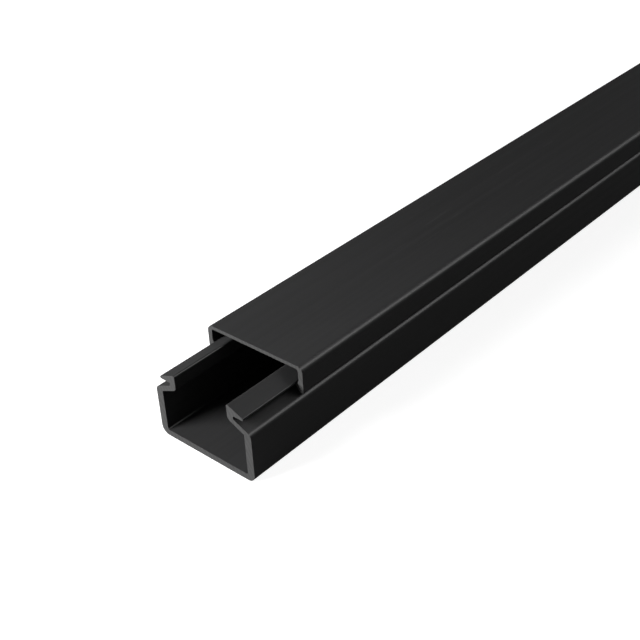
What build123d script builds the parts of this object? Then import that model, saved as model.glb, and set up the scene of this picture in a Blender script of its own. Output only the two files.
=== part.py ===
from build123d import *
import math
import os

# Two-piece cord cover raceway in black PVC: a base channel and a cover that snaps over its hooks.
# Millimetres. X runs across the raceway, Y along it, Z up from the face that lies on the wall.
# The origin is in the middle of that face. Both pieces are straight extrusions with sawn ends.

# Overall sizes
width = 20.0
height = 14.2
stock_length = 400.0
cover_set_back = 11.5

# Base: floor, walls, sloping flanges, webs at the mouth and hooks that point outward
floor_thickness = 1.1
wall_thickness = 1.35
mouth_width = 10.9
web_thickness = 1.2
flange_thickness = 0.9
flange_slope = 24.0
notch_height = 0.56
hook_edge = 0.4
hook_slope = 22.5

# Cover: top, legs with a waist, the pad and bead on each leg and the foot below them
cover_thickness = 0.6
cover_inset = 0.08
leg_thickness = 0.92
waist_thickness = 0.82
waist_height = 0.85
pad_thickness = 1.12
pad_height = 0.2
bead_grip = 0.25
bead_height = 0.18
foot_width = 0.72

# Clearances between the cover and the base
cover_headroom = 0.9
hook_clearance = 0.1
foot_clearance = 0.2

# Radii of the base's section
base_corner_radius = 1.45
floor_fillet = 0.4
shoulder_radius = 1.0
wall_top_fillet = 0.2
web_root_radius = 1.0
peak_radius = 0.3
tip_radius = 0.18
notch_radius = 0.25

# Radii of the cover's section
cover_corner_radius = 1.1
cover_inner_fillet = 0.4
leg_kink_radius = 0.15
bead_radius = 0.12
catch_fillet = 0.05
foot_radius = 0.5

# Places across the raceway, measured from its middle
half_width = width / 2
wall_inner = half_width - wall_thickness
web_inner = mouth_width / 2
web_outer = web_inner + web_thickness
cover_outer = half_width - cover_inset
leg_inner = cover_outer - leg_thickness
waist_inner = cover_outer - waist_thickness
pad_inner = cover_outer - pad_thickness
hook_tip = pad_inner - hook_clearance
bead_nose = hook_tip - bead_grip
foot_inner = cover_outer - foot_width

# Heights, worked out from the top of the cover down to the shoulder of the base
flange_rise = math.tan(math.radians(flange_slope))
flange_drop = flange_thickness / math.cos(math.radians(flange_slope))
cover_underside = height - cover_thickness
peak_z = cover_underside - cover_headroom
tip_top_z = peak_z - (hook_tip - web_inner) * math.tan(math.radians(hook_slope))
hook_underside = tip_top_z - hook_edge
notch_root_z = hook_underside - notch_height


def flange_top(x):
    """Height of the flange's upper face at the distance x from the middle."""
    return notch_root_z - (x - web_outer) * flange_rise


def flange_underside(x):
    """Height of the flange's lower face at the distance x from the middle."""
    return flange_top(x) - flange_drop


catch_z = hook_underside - hook_clearance
bead_bottom = catch_z - bead_height
foot_z = flange_top(foot_inner) + foot_clearance


def extrusion(right_half, length):
    """Sweep a symmetric section along Y, from the corners (x, z, radius) of its right half."""
    left_half = [(-x, z, radius) for x, z, radius in reversed(right_half)]
    corners = right_half + left_half
    points = [(x, z) for x, z, radius in corners]
    radii = [radius for x, z, radius in corners]
    outline = FilletPolyline(*points, radius=radii, close=True)
    return extrude(make_face(Plane.XZ * outline), length / 2, both=True)


def trunking_base():
    """The channel that is fixed to the wall, with an open mouth and a hook on each side of it."""
    right_half = [
        (half_width, 0, base_corner_radius),
        (half_width, flange_top(half_width), shoulder_radius),
        (web_outer, notch_root_z, notch_radius),
        (web_outer, hook_underside, notch_radius),
        (hook_tip, hook_underside, tip_radius),
        (hook_tip, tip_top_z, tip_radius),
        (web_inner, peak_z, peak_radius),
        (web_inner, flange_underside(web_inner), web_root_radius),
        (wall_inner, flange_underside(wall_inner), wall_top_fillet),
        (wall_inner, floor_thickness, floor_fillet),
    ]
    return extrusion(right_half, stock_length)


def snap_cover():
    """The cover, whose beads grip under the hooks, slid back from the near end of the base."""
    right_half = [
        (cover_outer, height, cover_corner_radius),
        (cover_outer, foot_z, foot_radius),
        (foot_inner, foot_z, bead_radius),
        (bead_nose, bead_bottom, bead_radius),
        (bead_nose, catch_z, bead_radius),
        (pad_inner, catch_z, catch_fillet),
        (pad_inner, catch_z + pad_height, leg_kink_radius),
        (waist_inner, catch_z + waist_height, leg_kink_radius),
        (leg_inner, cover_underside, cover_inner_fillet),
    ]
    return Pos(0, cover_set_back, 0) * extrusion(right_half, stock_length)


pieces = {
    "trunking_base": trunking_base(),
    "snap_cover": snap_cover(),
}

os.makedirs("parts", exist_ok=True)
for name, piece in pieces.items():
    export_step(piece, f"parts/{name}.step")
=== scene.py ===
import math

import bpy
from bpy.props import FloatProperty, FloatVectorProperty, IntProperty, PointerProperty
from mathutils import Matrix, Vector


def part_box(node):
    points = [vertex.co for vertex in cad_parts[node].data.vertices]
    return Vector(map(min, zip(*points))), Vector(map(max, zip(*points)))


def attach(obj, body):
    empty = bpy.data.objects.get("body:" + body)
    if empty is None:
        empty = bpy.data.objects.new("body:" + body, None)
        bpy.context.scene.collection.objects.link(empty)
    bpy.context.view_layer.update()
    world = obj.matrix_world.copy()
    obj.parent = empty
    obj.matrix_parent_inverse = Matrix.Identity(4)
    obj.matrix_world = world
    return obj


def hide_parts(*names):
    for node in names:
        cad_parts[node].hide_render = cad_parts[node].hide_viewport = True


bl_info = {
    "name": "Cord cover raceway",
    "version": (1, 0, 0),
    "blender": (4, 5, 0),
    "location": "3D View > Sidebar > Raceway",
    "description": "Sweeps the two extrusions of a cord cover raceway and sets up a plain studio",
    "category": "Object",
}

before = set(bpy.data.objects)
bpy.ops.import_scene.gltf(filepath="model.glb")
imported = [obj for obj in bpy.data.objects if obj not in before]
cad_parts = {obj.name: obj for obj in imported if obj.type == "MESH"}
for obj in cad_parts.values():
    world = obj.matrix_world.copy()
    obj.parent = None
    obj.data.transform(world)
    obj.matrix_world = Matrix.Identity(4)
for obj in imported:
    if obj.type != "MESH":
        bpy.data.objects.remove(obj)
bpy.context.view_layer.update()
BASE_LOW, BASE_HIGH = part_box("trunking_base")
COVER_LOW, COVER_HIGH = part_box("snap_cover")
SKIN_MATERIAL = "extruded_black_pvc"
SAWN_MATERIAL = "sawn_black_pvc"
SECTION_TREE = "extruded_section"
RADIUS_ATTRIBUTE = "corner_radius"
MM = 0.001


# Sizes, finishes and studio settings

def length(name, millimetres, description):
    """A length that the user can change, stored in metres."""
    return FloatProperty(
        name=name,
        description=description,
        default=millimetres * MM,
        min=0.0,
        precision=5,
        subtype="DISTANCE",
        unit="LENGTH",
    )


def angle(name, degrees, description):
    """An angle that the user can change, stored in radians."""
    return FloatProperty(
        name=name,
        description=description,
        default=math.radians(degrees),
        subtype="ANGLE",
        unit="ROTATION",
    )


def colour(name, rgb, description):
    """A linear colour that the user can change."""
    return FloatVectorProperty(
        name=name,
        description=description,
        default=rgb,
        size=3,
        min=0.0,
        max=1.0,
        subtype="COLOR",
    )


def factor(name, value, description):
    """A share between 0 and 1 that the user can change."""
    return FloatProperty(
        name=name,
        description=description,
        default=value,
        min=0.0,
        max=1.0,
        subtype="FACTOR",
    )


def amount(name, value, description):
    """A plain number that the user can change."""
    return FloatProperty(name=name, description=description, default=value, min=0.0)


class RACEWAY_PG_base(bpy.types.PropertyGroup):
    """Sizes of the base channel's section"""

    floor_thickness: length("Floor thickness", 1.1, "Thickness of the floor that lies on the wall")
    wall_thickness: length("Wall thickness", 1.35, "Thickness of the two side walls")
    mouth_width: length("Mouth width", 10.9, "Open width between the two webs")
    web_thickness: length("Web thickness", 1.2, "Thickness of the upright web that carries a hook")
    flange_thickness: length("Flange thickness", 0.9, "Thickness of the sloping flange")
    flange_slope: angle("Flange slope", 24.0, "Slope of the flange, rising towards the mouth")
    notch_height: length("Notch height", 0.56, "Height of the notch between flange and hook")
    hook_edge: length("Hook edge", 0.4, "Thickness of the hook at its tip")
    hook_slope: angle("Hook slope", 22.5, "Slope of the hook's upper face, falling outward")
    corner_radius: length("Corner radius", 1.45, "Outer radius where wall and floor meet")
    floor_fillet: length("Floor fillet", 0.4, "Inner radius where wall and floor meet")
    shoulder_radius: length("Shoulder radius", 1.0, "Outer radius where wall and flange meet")
    wall_top_fillet: length("Wall top fillet", 0.2, "Inner radius where wall and flange meet")
    web_root_radius: length("Web root radius", 1.0, "Inner radius where flange and web meet")
    peak_radius: length("Peak radius", 0.3, "Radius on the hook's highest edge")
    tip_radius: length("Tip radius", 0.18, "Radius on the hook's outer tip")
    notch_radius: length("Notch radius", 0.25, "Radius at the root of the notch")


class RACEWAY_PG_cover(bpy.types.PropertyGroup):
    """Sizes of the cover's section"""

    thickness: length("Top thickness", 0.6, "Thickness of the cover's top")
    leg_thickness: length("Leg thickness", 0.92, "Thickness of the two legs at the top")
    waist_thickness: length("Waist thickness", 0.82, "Thickness of the leg where it is thinnest")
    waist_height: length("Waist height", 0.85, "How far the waist lies above the bead")
    pad_thickness: length("Pad thickness", 1.12, "Thickness of the leg beside the hook")
    pad_height: length("Pad height", 0.2, "Height of the pad above the bead")
    bead_grip: length("Bead grip", 0.25, "How far the bead reaches in under the hook")
    bead_height: length("Bead height", 0.18, "Height of the bead's inner face")
    foot_width: length("Foot width", 0.72, "Width of the leg's foot")
    headroom: length("Headroom", 0.9, "Gap between the hook's highest edge and the cover")
    hook_clearance: length("Hook clearance", 0.1, "Running gap between hook and bead")
    foot_clearance: length("Foot clearance", 0.2, "Gap between the foot and the flange")
    corner_radius: length("Corner radius", 1.1, "Outer radius of the cover's long edges")
    inner_fillet: length("Inner fillet", 0.4, "Inner radius under the cover's long edges")
    kink_radius: length("Kink radius", 0.15, "Radius at the waist and at the pad")
    bead_radius: length("Bead radius", 0.12, "Radius on the bead and on the foot's inner edge")
    catch_fillet: length("Catch fillet", 0.05, "Radius between the bead's catch and the leg")
    foot_radius: length("Foot radius", 0.5, "Radius on the foot's outer edge")


class RACEWAY_PG_finish(bpy.types.PropertyGroup):
    """Finish of the black PVC, and how finely the sections are swept"""

    skin_colour: colour("Skin colour", (0.028, 0.028, 0.0285), "Colour of the extruded faces")
    sawn_colour: colour("Sawn colour", (0.065, 0.065, 0.065), "Colour of the sawn end faces")
    skin_roughness: factor("Skin roughness", 0.42, "Roughness of the extruded faces")
    sawn_roughness: factor("Sawn roughness", 0.65, "Roughness of the sawn end faces")
    gloss: factor("Gloss", 0.036, "Weight of the thin coat that gives the skin its gloss")
    gloss_roughness: factor("Gloss roughness", 0.40, "Roughness of that gloss")
    gloss_ior: amount("Gloss IOR", 2.0, "Index of refraction of that gloss")
    skin_specular: factor("Skin specular", 0.0, "Specular level of the extruded faces")
    sawn_specular: factor("Sawn specular", 0.02, "Specular level of the sawn end faces")
    corner_points: IntProperty(
        name="Points a corner", description="Points along each rounded corner", default=12, min=2
    )
    station_gap: length("Station gap", 20.0, "Distance between the rings of the sweep")


class RACEWAY_PG_studio(bpy.types.PropertyGroup):
    """Lamps, floor and camera"""

    key_power: amount("Key power", 0.165, "Power of the lamp at the near end, in watts")
    far_power: amount("Far power", 0.12, "Power of the lamp at the far end, in watts")
    side_power: amount("Side power", 0.02, "Power of each lamp beside the middle, in watts")
    edge_power: amount("Edge power", 29.0, "Power of the lamp that draws the long edges, in watts")
    far_edge_power: amount("Far edge power", 11.3, "Power of the one for their far part, in watts")
    slope_power: amount("Slope power", 1.3, "Power of the lamp that glosses the slopes, in watts")
    back_power: amount("Back power", 9.0, "Power of the low lamp behind on the left, in watts")
    sky_level: factor("Sky level", 0.08, "Even light from all round")
    floor_colour: colour("Floor colour", (0.9, 0.9, 0.9), "Colour of the pale floor")
    camera_azimuth: angle("Camera azimuth", 42.357, "Turn of the camera about the upright")
    camera_elevation: angle("Camera elevation", 32.781, "How steeply the camera looks down")
    camera_roll: angle("Camera roll", -2.931, "Turn of the camera about its own axis")
    camera_lens: FloatProperty(
        name="Lens", description="Focal length in millimetres", default=60.436, min=1.0
    )


PROPERTY_GROUPS = {
    "raceway_base": RACEWAY_PG_base,
    "raceway_cover": RACEWAY_PG_cover,
    "raceway_finish": RACEWAY_PG_finish,
    "raceway_studio": RACEWAY_PG_studio,
}


# Sections, as corners (x, z, radius) of the right half, from the same sizes as the solids

class Heights:
    """The places that both sections share, worked out from the top of the cover down."""

    def __init__(self, base, cover):
        self.half_width = BASE_HIGH.x
        self.cover_outer = COVER_HIGH.x
        self.web_inner = base.mouth_width / 2
        self.web_outer = self.web_inner + base.web_thickness
        self.leg_inner = self.cover_outer - cover.leg_thickness
        self.waist_inner = self.cover_outer - cover.waist_thickness
        self.pad_inner = self.cover_outer - cover.pad_thickness
        self.hook_tip = self.pad_inner - cover.hook_clearance
        self.bead_nose = self.hook_tip - cover.bead_grip
        self.foot_inner = self.cover_outer - cover.foot_width
        self.cover_underside = COVER_HIGH.z - cover.thickness
        self.peak = self.cover_underside - cover.headroom
        hook_fall = (self.hook_tip - self.web_inner) * math.tan(base.hook_slope)
        self.tip_top = self.peak - hook_fall
        self.hook_underside = self.tip_top - base.hook_edge
        self.notch_root = self.hook_underside - base.notch_height
        self.rise = math.tan(base.flange_slope)
        self.drop = base.flange_thickness / math.cos(base.flange_slope)

    def flange_top(self, x):
        """Height of the flange's upper face at the distance x from the middle."""
        return self.notch_root - (x - self.web_outer) * self.rise

    def flange_underside(self, x):
        """Height of the flange's lower face at the distance x from the middle."""
        return self.flange_top(x) - self.drop


def base_corners(base, cover):
    """Corners of the base channel's right half."""
    h = Heights(base, cover)
    wall_inner = h.half_width - base.wall_thickness
    return [
        (h.half_width, 0.0, base.corner_radius),
        (h.half_width, h.flange_top(h.half_width), base.shoulder_radius),
        (h.web_outer, h.notch_root, base.notch_radius),
        (h.web_outer, h.hook_underside, base.notch_radius),
        (h.hook_tip, h.hook_underside, base.tip_radius),
        (h.hook_tip, h.tip_top, base.tip_radius),
        (h.web_inner, h.peak, base.peak_radius),
        (h.web_inner, h.flange_underside(h.web_inner), base.web_root_radius),
        (wall_inner, h.flange_underside(wall_inner), base.wall_top_fillet),
        (wall_inner, base.floor_thickness, base.floor_fillet),
    ]


def cover_corners(base, cover):
    """Corners of the cover's right half."""
    h = Heights(base, cover)
    foot = h.flange_top(h.foot_inner) + cover.foot_clearance
    catch = h.hook_underside - cover.hook_clearance
    return [
        (h.cover_outer, COVER_HIGH.z, cover.corner_radius),
        (h.cover_outer, foot, cover.foot_radius),
        (h.foot_inner, foot, cover.bead_radius),
        (h.bead_nose, catch - cover.bead_height, cover.bead_radius),
        (h.bead_nose, catch, cover.bead_radius),
        (h.pad_inner, catch, cover.catch_fillet),
        (h.pad_inner, catch + cover.pad_height, cover.kink_radius),
        (h.waist_inner, catch + cover.waist_height, cover.kink_radius),
        (h.leg_inner, h.cover_underside, cover.inner_fillet),
    ]


# Materials

SAW_DIRECTION = math.radians(28)  # Turn of the saw marks in the plane of the cut


class Nodes:
    """Adds and links nodes in one tree, placed in columns so that the tree can be read."""

    rows = 4
    column_width = 220
    row_height = 260

    def __init__(self, tree):
        self.tree = tree
        self.count = 0

    def add(self, kind, label="", **values):
        """A node of that kind, with its properties set."""
        node = self.tree.nodes.new(kind)
        node.label = label
        column, row = divmod(self.count, self.rows)
        node.location = (column * self.column_width, -row * self.row_height)
        self.count += 1
        for key, value in values.items():
            setattr(node, key, value)
        return node

    def link(self, source, target):
        """Joins an output socket to an input socket."""
        self.tree.links.new(source, target)

    def compute(self, operation, first, second=0.0, label=""):
        """The result of an operation on two sockets or numbers."""
        node = self.add("ShaderNodeMath", label, operation=operation)
        for socket, value in zip(node.inputs, (first, second)):
            if isinstance(value, (int, float)):
                socket.default_value = value
            else:
                self.link(value, socket)
        return node.outputs[0]

    def total(self, first, *others):
        """The sum of several sockets."""
        for other in others:
            first = self.compute("ADD", first, other)
        return first


def empty_nodes(owner):
    """The emptied tree of a material or a world, ready for its nodes."""
    owner.use_nodes = True
    owner.node_tree.nodes.clear()
    return Nodes(owner.node_tree)


def new_material(name):
    """A node material with its shader and its Object coordinates, and no pattern yet."""
    material = bpy.data.materials.new(name)
    n = empty_nodes(material)
    coordinates = n.add("ShaderNodeTexCoord", "Place on the piece").outputs["Object"]
    output = n.add("ShaderNodeOutputMaterial")
    shader = n.add("ShaderNodeBsdfPrincipled", "Black PVC")
    n.link(shader.outputs["BSDF"], output.inputs["Surface"])
    return material, n, coordinates, shader


def noise(n, coordinates, label, scale, stretch=(1, 1, 1), detail=3.0, roughness=0.5):
    """Noise with scale features to the metre, drawn out along the axes where stretch is small."""
    mapping = n.add("ShaderNodeMapping", label)
    mapping.inputs["Scale"].default_value = stretch
    n.link(coordinates, mapping.inputs["Vector"])
    texture = n.add("ShaderNodeTexNoise", label)
    texture.inputs["Scale"].default_value = scale
    texture.inputs["Detail"].default_value = detail
    texture.inputs["Roughness"].default_value = roughness
    n.link(mapping.outputs["Vector"], texture.inputs["Vector"])
    return texture.outputs["Fac"]


def spread(n, value, low, high, near=0.3, far=0.7):
    """Takes a value from the range near to far, which noise mostly fills, to low to high."""
    node = n.add("ShaderNodeMapRange")
    limits = {"From Min": near, "From Max": far, "To Min": low, "To Max": high}
    for socket, number in limits.items():
        node.inputs[socket].default_value = number
    n.link(value, node.inputs["Value"])
    return node.outputs["Result"]


def tint(n, rgb, brightness):
    """The colour times a brightness that varies over the surface."""
    node = n.add("ShaderNodeVectorMath", "Colour times brightness", operation="SCALE")
    node.inputs[0].default_value = rgb
    n.link(brightness, node.inputs["Scale"])
    return node.outputs["Vector"]


def bump(n, height, depth, strength, normal=None):
    """A bump of that depth in metres, on top of the normal if one is given."""
    node = n.add("ShaderNodeBump")
    node.inputs["Strength"].default_value = strength
    node.inputs["Distance"].default_value = depth
    n.link(height, node.inputs["Height"])
    if normal is not None:
        n.link(normal, node.inputs["Normal"])
    return node.outputs["Normal"]


def extruded_skin(finish):
    """Satin black PVC as it leaves the die: lines along it, a soft grain and light scuffs."""
    material, n, place, shader = new_material(SKIN_MATERIAL)
    along = (1.0, 0.012, 1.0)
    die_lines = noise(n, place, "Fine die lines", scale=5200, stretch=along, detail=2)
    die_bands = noise(n, place, "Broad die bands", scale=900, stretch=along, detail=3)
    clouding = noise(n, place, "Clouding of the colour", scale=60, stretch=(1, 0.25, 1))
    grain = noise(n, place, "Grain of the skin", scale=7000, detail=2)
    scuffs = noise(
        n, place, "Scuffs from sliding in a stack", scale=1500, stretch=(1, 0.05, 1), detail=4
    )
    brightness = n.total(
        spread(n, clouding, -0.06, 0.06),
        spread(n, die_bands, 0.94, 1.06),
        spread(n, scuffs, 0.0, 0.16, near=0.66, far=0.74),
    )
    n.link(tint(n, finish.skin_colour, brightness), shader.inputs["Base Color"])
    mean = finish.skin_roughness
    roughness = n.total(
        spread(n, die_bands, mean - 0.04, mean + 0.04),
        spread(n, grain, -0.03, 0.03),
    )
    n.link(roughness, shader.inputs["Roughness"])
    lines = bump(n, die_lines, depth=6e-6, strength=0.6)
    bands = bump(n, die_bands, depth=2e-5, strength=0.5, normal=lines)
    surface = bump(n, grain, depth=3e-6, strength=0.5, normal=bands)
    n.link(surface, shader.inputs["Normal"])
    n.link(surface, shader.inputs["Coat Normal"])
    shader.inputs["Specular IOR Level"].default_value = finish.skin_specular
    shader.inputs["Coat Weight"].default_value = finish.gloss
    shader.inputs["Coat Roughness"].default_value = finish.gloss_roughness
    shader.inputs["Coat IOR"].default_value = finish.gloss_ior
    return material


def sawn_face(finish):
    """The lighter face that the saw leaves across an end, with the marks of its teeth."""
    material, n, place, shader = new_material(SAWN_MATERIAL)
    turned = n.add("ShaderNodeMapping", "Direction of the saw")
    turned.inputs["Rotation"].default_value = (0.0, SAW_DIRECTION, 0.0)
    n.link(place, turned.inputs["Vector"])
    wave = n.add("ShaderNodeTexWave", "Saw marks", wave_type="BANDS", bands_direction="X")
    pattern = {"Scale": 420, "Distortion": 3.0, "Detail": 3.0, "Detail Scale": 1.6}
    for socket, number in pattern.items():
        wave.inputs[socket].default_value = number
    n.link(turned.outputs["Vector"], wave.inputs["Vector"])
    marks = wave.outputs["Fac"]
    grain = noise(n, place, "Torn grain", scale=6000, detail=4, roughness=0.65)
    patches = noise(n, place, "Patches", scale=700)
    brightness = n.total(
        spread(n, patches, 0.94, 1.06),
        spread(n, grain, -0.06, 0.06),
        spread(n, marks, -0.09, 0.09, near=0.0, far=1.0),
    )
    n.link(tint(n, finish.sawn_colour, brightness), shader.inputs["Base Color"])
    mean = finish.sawn_roughness
    n.link(spread(n, grain, mean - 0.08, mean + 0.08), shader.inputs["Roughness"])
    torn = bump(n, grain, depth=8e-6, strength=0.4)
    surface = bump(n, marks, depth=1e-5, strength=0.6, normal=torn)
    n.link(surface, shader.inputs["Normal"])
    shader.inputs["Specular IOR Level"].default_value = finish.sawn_specular
    return material


# Sweep

END_FACING = 0.9  # A face is an end where its normal runs along Y by more than this
SHARP_ANGLE = math.radians(50)
BOX_TOLERANCE = 0.01 * MM


def add_object(name, data):
    """A new object in the scene's collection."""
    thing = bpy.data.objects.new(name, data)
    bpy.context.collection.objects.link(thing)
    return thing


def outline_mesh(name, right_half):
    """A closed ring of the section's corners, each with its radius, drawn in the XY plane."""
    corners = right_half + [(-x, z, radius) for x, z, radius in reversed(right_half)]
    count = len(corners)
    mesh = bpy.data.meshes.new(name)
    edges = [(i, (i + 1) % count) for i in range(count)]
    mesh.from_pydata([(x, z, 0.0) for x, z, radius in corners], edges, [])
    radii = mesh.attributes.new(RADIUS_ATTRIBUTE, "FLOAT", "POINT")
    radii.data.foreach_set("value", [radius for x, z, radius in corners])
    return mesh


def sweep_tree():
    """Rounds the corners of a section, sweeps it along Y and gives its ends their own look."""
    tree = bpy.data.node_groups.new(SECTION_TREE, "GeometryNodeTree")
    tree.is_modifier = True
    inputs = (
        ("Outline", "NodeSocketGeometry"),
        ("Near end", "NodeSocketFloat"),
        ("Far end", "NodeSocketFloat"),
        ("Station gap", "NodeSocketFloat"),
        ("Points a corner", "NodeSocketInt"),
        ("Skin", "NodeSocketMaterial"),
        ("Sawn face", "NodeSocketMaterial"),
    )
    for name, kind in inputs:
        tree.interface.new_socket(name, in_out="INPUT", socket_type=kind)
    tree.interface.new_socket("Piece", in_out="OUTPUT", socket_type="NodeSocketGeometry")
    n = Nodes(tree)
    given = n.add("NodeGroupInput").outputs

    ring = n.add("GeometryNodeMeshToCurve", "Corners as a closed curve")
    n.link(given["Outline"], ring.inputs["Mesh"])
    radius = n.add("GeometryNodeInputNamedAttribute", "Radius of each corner", data_type="FLOAT")
    radius.inputs["Name"].default_value = RADIUS_ATTRIBUTE
    rounded = n.add("GeometryNodeFilletCurve", "Rounded corners", mode="POLY")
    n.link(ring.outputs["Curve"], rounded.inputs["Curve"])
    n.link(radius.outputs["Attribute"], rounded.inputs["Radius"])
    n.link(given["Points a corner"], rounded.inputs["Count"])

    ends = []
    for end in ("Far end", "Near end"):
        place = n.add("ShaderNodeCombineXYZ", end)
        n.link(n.compute("MULTIPLY", given[end], -1.0), place.inputs["Z"])
        ends.append(place.outputs["Vector"])
    path = n.add("GeometryNodeCurvePrimitiveLine", "Line of the extrusion")
    n.link(ends[0], path.inputs["Start"])
    n.link(ends[1], path.inputs["End"])
    stations = n.add("GeometryNodeResampleCurve", "Rings of the sweep", mode="LENGTH")
    n.link(path.outputs["Curve"], stations.inputs["Curve"])
    n.link(given["Station gap"], stations.inputs["Length"])

    sweep = n.add("GeometryNodeCurveToMesh", "Sweep with closed ends")
    sweep.inputs["Fill Caps"].default_value = True
    n.link(stations.outputs["Curve"], sweep.inputs["Curve"])
    n.link(rounded.outputs["Curve"], sweep.inputs["Profile Curve"])
    upright = n.add("GeometryNodeTransform", "Stood up, with the length along Y")
    upright.inputs["Rotation"].default_value = (math.pi / 2, 0.0, 0.0)
    n.link(sweep.outputs["Mesh"], upright.inputs["Geometry"])

    real = n.add("GeometryNodeRealizeInstances")
    n.link(upright.outputs["Geometry"], real.inputs["Geometry"])
    skin = n.add("GeometryNodeSetMaterial", "Skin everywhere")
    n.link(real.outputs["Geometry"], skin.inputs["Geometry"])
    n.link(given["Skin"], skin.inputs["Material"])
    facing = n.add("GeometryNodeInputNormal")
    parts = n.add("ShaderNodeSeparateXYZ")
    n.link(facing.outputs["Normal"], parts.inputs["Vector"])
    along = n.compute("ABSOLUTE", parts.outputs["Y"])
    is_end = n.compute("GREATER_THAN", along, END_FACING, "Faces an end")
    sawn = n.add("GeometryNodeSetMaterial", "Sawn face on the ends")
    n.link(skin.outputs["Geometry"], sawn.inputs["Geometry"])
    n.link(is_end, sawn.inputs["Selection"])
    n.link(given["Sawn face"], sawn.inputs["Material"])
    result = n.add("NodeGroupOutput")
    n.link(sawn.outputs["Geometry"], result.inputs["Piece"])
    return tree


def shared(collection, name, make):
    """The datablock of that name, made if it isn't there yet."""
    return collection.get(name) or make()


def extrude_piece(name, right_half, low, high, finish):
    """The plain mesh object that the sweep makes of a section, filling its solid's box."""
    piece = add_object(name, outline_mesh(name + "_outline", right_half))
    tree = shared(bpy.data.node_groups, SECTION_TREE, sweep_tree)
    skin = shared(bpy.data.materials, SKIN_MATERIAL, lambda: extruded_skin(finish))
    sawn = shared(bpy.data.materials, SAWN_MATERIAL, lambda: sawn_face(finish))
    values = {
        "Near end": low.y,
        "Far end": high.y,
        "Station gap": finish.station_gap,
        "Points a corner": finish.corner_points,
        "Skin": skin,
        "Sawn face": sawn,
    }
    modifier = piece.modifiers.new("Sweep", "NODES")
    modifier.node_group = tree
    for socket in tree.interface.items_tree:
        if socket.in_out == "INPUT" and socket.name in values:
            modifier[socket.identifier] = values[socket.name]
    smooth_plain_mesh(piece)
    check_box(piece, low, high)
    return piece


def smooth_plain_mesh(piece):
    """Makes the evaluated sweep a plain mesh, smooth along the section and sharp at the ends."""
    depsgraph = bpy.context.evaluated_depsgraph_get()
    mesh = bpy.data.meshes.new_from_object(piece.evaluated_get(depsgraph), depsgraph=depsgraph)
    outline = piece.data
    piece.modifiers.clear()
    piece.data = mesh
    bpy.data.meshes.remove(outline)
    mesh.name = piece.name
    mesh.shade_smooth()
    mesh.set_sharp_from_angle(angle=SHARP_ANGLE)


def check_box(piece, low, high):
    """Stops if a piece doesn't fill its solid's box to a hundredth of a millimetre."""
    for axis in range(3):
        places = [v.co[axis] for v in piece.data.vertices]
        off = max(abs(min(places) - low[axis]), abs(max(places) - high[axis]))
        if off > BOX_TOLERANCE:
            raise RuntimeError(f"{piece.name} is {off / MM:.3f} mm off its solid on axis {axis}")


# Operators

class RACEWAY_OT_base_channel(bpy.types.Operator):
    """Sweeps the base channel, from its near end to its far end"""

    bl_idname = "raceway.base_channel"
    bl_label = "Base channel"

    def execute(self, context):
        scene = context.scene
        corners = base_corners(scene.raceway_base, scene.raceway_cover)
        channel = extrude_piece("base_channel", corners, BASE_LOW, BASE_HIGH, scene.raceway_finish)
        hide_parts("trunking_base")
        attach(channel, "base")
        return {"FINISHED"}


class RACEWAY_OT_cover_strip(bpy.types.Operator):
    """Sweeps the cover, set back from the near end of the base"""

    bl_idname = "raceway.cover_strip"
    bl_label = "Cover"

    def execute(self, context):
        scene = context.scene
        corners = cover_corners(scene.raceway_base, scene.raceway_cover)
        cover = extrude_piece("cover_strip", corners, COVER_LOW, COVER_HIGH, scene.raceway_finish)
        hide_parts("snap_cover")
        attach(cover, "cover")
        return {"FINISHED"}


class RACEWAY_OT_studio(bpy.types.Operator):
    """Sets up the pale floor, the soft lamps, the white surroundings and the camera"""

    bl_idname = "raceway.studio"
    bl_label = "Studio"

    def execute(self, context):
        studio = context.scene.raceway_studio
        studio_floor(studio)
        studio_lamps(studio)
        studio_world(context.scene, studio)
        studio_camera(context.scene, studio)
        context.scene.view_settings.view_transform = "Standard"
        return {"FINISHED"}


# Studio

FLOOR_REACH = 6.0  # Metres from the middle of the floor to each side
FLOOR_SURFACE = 0.2  # Share of the floor's colour that the lamps and the object meet
FLOOR_SHADE = 0.4  # Grey that takes the object's shadow where the floor is seen
# Less glow beside the object than further off: painted shade round the object, which the lamps'
# real shadow on the floor deepens
GLOW_BESIDE, GLOW_FURTHER_OFF = 0.86, 1.0  # White added to that grey where the floor is seen
BESIDE, FURTHER_OFF = 0.02, 0.2  # Metres from the object's middle at which the two apply
LONG_WAY = 0.45  # How much a metre along the raceway counts there

NEAR_AIM, FAR_AIM = 0.015, 0.04  # How far in from the two ends the lamps there aim, in metres
SIDE_AIM = 0.06  # How far past the middle the lamps beside it aim, in metres

# The lamps: name, what it aims at, its place seen from there and its size in metres, the setting
# that holds its power, and what else sets it apart
SIDE_LIGHT = {"beam": 75, "glossy": False}
GLOSS_ONLY = {"diffuse": False}
LAMPS = (
    ("key_lamp", "near end", (-0.070, -0.133, 0.080), (0.085, 0.085), "key_power", {"beam": 90}),
    ("far_lamp", "far end", (0.060, 0.115, 0.080), (0.10, 0.10), "far_power", {"beam": 90}),
    ("left_lamp", "past the middle", (-0.12, 0.0, 0.14), (0.12, 0.12), "side_power", SIDE_LIGHT),
    ("right_lamp", "past the middle", (0.12, 0.0, 0.14), (0.12, 0.12), "side_power", SIDE_LIGHT),
    ("edge_lamp", "near end", (0.60, 0.48, 0.62), (0.5, 0.5), "edge_power", GLOSS_ONLY),
    ("far_edge_lamp", "near end", (0.40, 0.84, 0.38), (0.5, 0.5), "far_edge_power", GLOSS_ONLY),
    ("slope_lamp", "near end", (0.05, 0.645, 0.78), (0.45, 0.45), "slope_power", GLOSS_ONLY),
    ("back_lamp", "middle", (-0.80, 0.90, 0.10), (0.6, 0.2), "back_power", {"glossy": False}),
)

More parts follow.
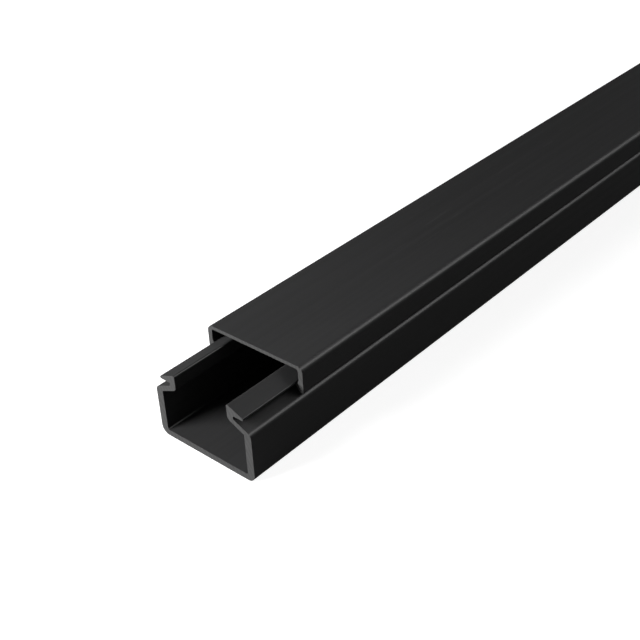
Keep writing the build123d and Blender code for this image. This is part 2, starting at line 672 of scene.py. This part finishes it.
# The photograph's viewpoint, from the middle of the near end's bottom edge, in raceway widths
VIEWPOINT = (4.9264, -4.0614, 5.2517)


def seen_directly(n):
    """1 for what the camera, a reflection or a see-through surface shows, else 0."""
    path = n.add("ShaderNodeLightPath").outputs
    seen = n.compute("MAXIMUM", path["Is Camera Ray"], path["Is Glossy Ray"])
    return n.compute("MAXIMUM", seen, path["Is Transmission Ray"])


def floor_material(studio):
    """A pale floor, with the white of the background added where it is seen, less of it beside the
    object as painted shade.
    """
    material = bpy.data.materials.new("pale_floor")
    n = empty_nodes(material)
    plain = n.add("ShaderNodeBsdfDiffuse", "Floor as a surface")
    plain.inputs["Color"].default_value = (*[c * FLOOR_SURFACE for c in studio.floor_colour], 1.0)
    shaded = n.add("ShaderNodeBsdfDiffuse", "Floor's share of shade")
    shaded.inputs["Color"].default_value = (FLOOR_SHADE, FLOOR_SHADE, FLOOR_SHADE, 1.0)
    place = n.add("ShaderNodeTexCoord").outputs["Object"]
    flattened = n.add("ShaderNodeMapping", "Long way of the raceway counted short")
    flattened.inputs["Scale"].default_value = (1.0, LONG_WAY, 1.0)
    n.link(place, flattened.inputs["Vector"])
    distance = n.add("ShaderNodeVectorMath", "Distance from the object", operation="LENGTH")
    n.link(flattened.outputs["Vector"], distance.inputs[0])
    # Painted shade: less white beside the object than further off, on top of the real shadow from
    # the lamps
    white = spread(
        n, distance.outputs["Value"], GLOW_BESIDE, GLOW_FURTHER_OFF, near=BESIDE, far=FURTHER_OFF
    )
    glow = n.add("ShaderNodeEmission", "White of the background")
    n.link(white, glow.inputs["Strength"])
    seen = n.add("ShaderNodeAddShader")
    n.link(shaded.outputs["BSDF"], seen.inputs[0])
    n.link(glow.outputs["Emission"], seen.inputs[1])
    mix = n.add("ShaderNodeMixShader")
    n.link(seen_directly(n), mix.inputs["Fac"])
    n.link(plain.outputs["BSDF"], mix.inputs[1])
    n.link(seen.outputs["Shader"], mix.inputs[2])
    output = n.add("ShaderNodeOutputMaterial")
    n.link(mix.outputs["Shader"], output.inputs["Surface"])
    return material


def studio_floor(studio):
    """A wide pale floor that is white where it is seen, and keeps the object's shadow."""
    mesh = bpy.data.meshes.new("studio_floor")
    sides = [(-1, -1), (1, -1), (1, 1), (-1, 1)]
    corners = [(x * FLOOR_REACH, y * FLOOR_REACH, 0.0) for x, y in sides]
    mesh.from_pydata(corners, [], [(0, 1, 2, 3)])
    mesh.materials.append(floor_material(studio))
    floor = add_object("studio_floor", mesh)


def area_lamp(name, target, offset, size, power, beam=180.0, diffuse=True, glossy=True):
    """A soft rectangular lamp at an offset from its target, with a beam of so many degrees."""
    data = bpy.data.lights.new(name, "AREA")
    data.shape = "RECTANGLE"
    data.size, data.size_y = size
    data.energy = power
    data.spread = math.radians(beam)
    lamp = add_object(name, data)
    lamp.visible_camera = False
    lamp.visible_diffuse = diffuse
    lamp.visible_glossy = glossy
    place = target + Vector(offset)
    lamp.location = place
    lamp.rotation_mode = "QUATERNION"
    lamp.rotation_quaternion = (target - place).to_track_quat("-Z", "Y")


def studio_lamps(studio):
    """All the lamps: at the ends and beside the middle, three that only gloss, and one behind."""
    top = COVER_HIGH.z
    targets = {
        "near end": Vector((0.0, BASE_LOW.y + NEAR_AIM, top)),
        "far end": Vector((0.0, COVER_HIGH.y - FAR_AIM, top)),
        "middle": Vector((0.0, 0.0, top / 2)),
        "past the middle": Vector((0.0, SIDE_AIM, top / 2)),
    }
    for name, target, offset, size, power, rest in LAMPS:
        area_lamp(name, targets[target], offset, size, getattr(studio, power), **rest)


def studio_world(scene, studio):
    """White where it is seen, and a soft even light on the object."""
    world = bpy.data.worlds.new("studio_world")
    scene.world = world
    n = empty_nodes(world)
    strength = n.add("ShaderNodeMapRange", "Sky level, or white where it is seen")
    strength.inputs["To Min"].default_value = studio.sky_level
    strength.inputs["To Max"].default_value = 1.0
    n.link(seen_directly(n), strength.inputs["Value"])
    background = n.add("ShaderNodeBackground")
    background.inputs["Color"].default_value = (1.0, 1.0, 1.0, 1.0)
    n.link(strength.outputs["Result"], background.inputs["Strength"])
    output = n.add("ShaderNodeOutputWorld")
    n.link(background.outputs["Background"], output.inputs["Surface"])


def studio_camera(scene, studio):
    """The photograph's viewpoint, placed from the middle of the near end's bottom edge."""
    data = bpy.data.cameras.new("photo_camera")
    data.sensor_width = 36.0
    data.lens = studio.camera_lens
    data.clip_start = 0.01
    data.clip_end = 50.0
    camera = add_object("photo_camera", data)
    width = BASE_HIGH.x - BASE_LOW.x
    near_end = Vector((0.0, BASE_LOW.y, BASE_LOW.z))
    place = near_end + width * Vector(VIEWPOINT)
    turn = Matrix.Rotation(studio.camera_azimuth, 4, "Z")
    tilt = Matrix.Rotation(math.pi / 2 - studio.camera_elevation, 4, "X")
    roll = Matrix.Rotation(studio.camera_roll, 4, "Z")
    camera.matrix_world = Matrix.Translation(place) @ turn @ tilt @ roll
    scene.camera = camera


# Panel and registration

class RACEWAY_PT_sidebar(bpy.types.Panel):
    """The raceway's pieces and settings"""

    bl_idname = "RACEWAY_PT_sidebar"
    bl_label = "Cord cover raceway"
    bl_space_type = "VIEW_3D"
    bl_region_type = "UI"
    bl_category = "Raceway"

    def draw(self, context):
        for operator in OPERATORS:
            self.layout.operator(operator.bl_idname)
        for attribute in PROPERTY_GROUPS:
            box = self.layout.box()
            box.label(text=attribute.removeprefix("raceway_").capitalize())
            group = getattr(context.scene, attribute)
            for name in group.bl_rna.properties.keys():
                if name not in ("rna_type", "name"):
                    box.prop(group, name)


OPERATORS = (RACEWAY_OT_base_channel, RACEWAY_OT_cover_strip, RACEWAY_OT_studio)
CLASSES = (*PROPERTY_GROUPS.values(), *OPERATORS, RACEWAY_PT_sidebar)


def register():
    """Adds the classes, and the settings to the scene."""
    for cls in CLASSES:
        bpy.utils.register_class(cls)
    for attribute, group in PROPERTY_GROUPS.items():
        setattr(bpy.types.Scene, attribute, PointerProperty(type=group))


def unregister():
    """Takes the settings and the classes away again."""
    for attribute in PROPERTY_GROUPS:
        delattr(bpy.types.Scene, attribute)
    for cls in reversed(CLASSES):
        bpy.utils.unregister_class(cls)


def main():
    """Registers the add-on and makes the pieces and the studio."""
    register()
    bpy.ops.raceway.base_channel()
    bpy.ops.raceway.cover_strip()
    bpy.ops.raceway.studio()


if __name__ == "__main__":
    main()
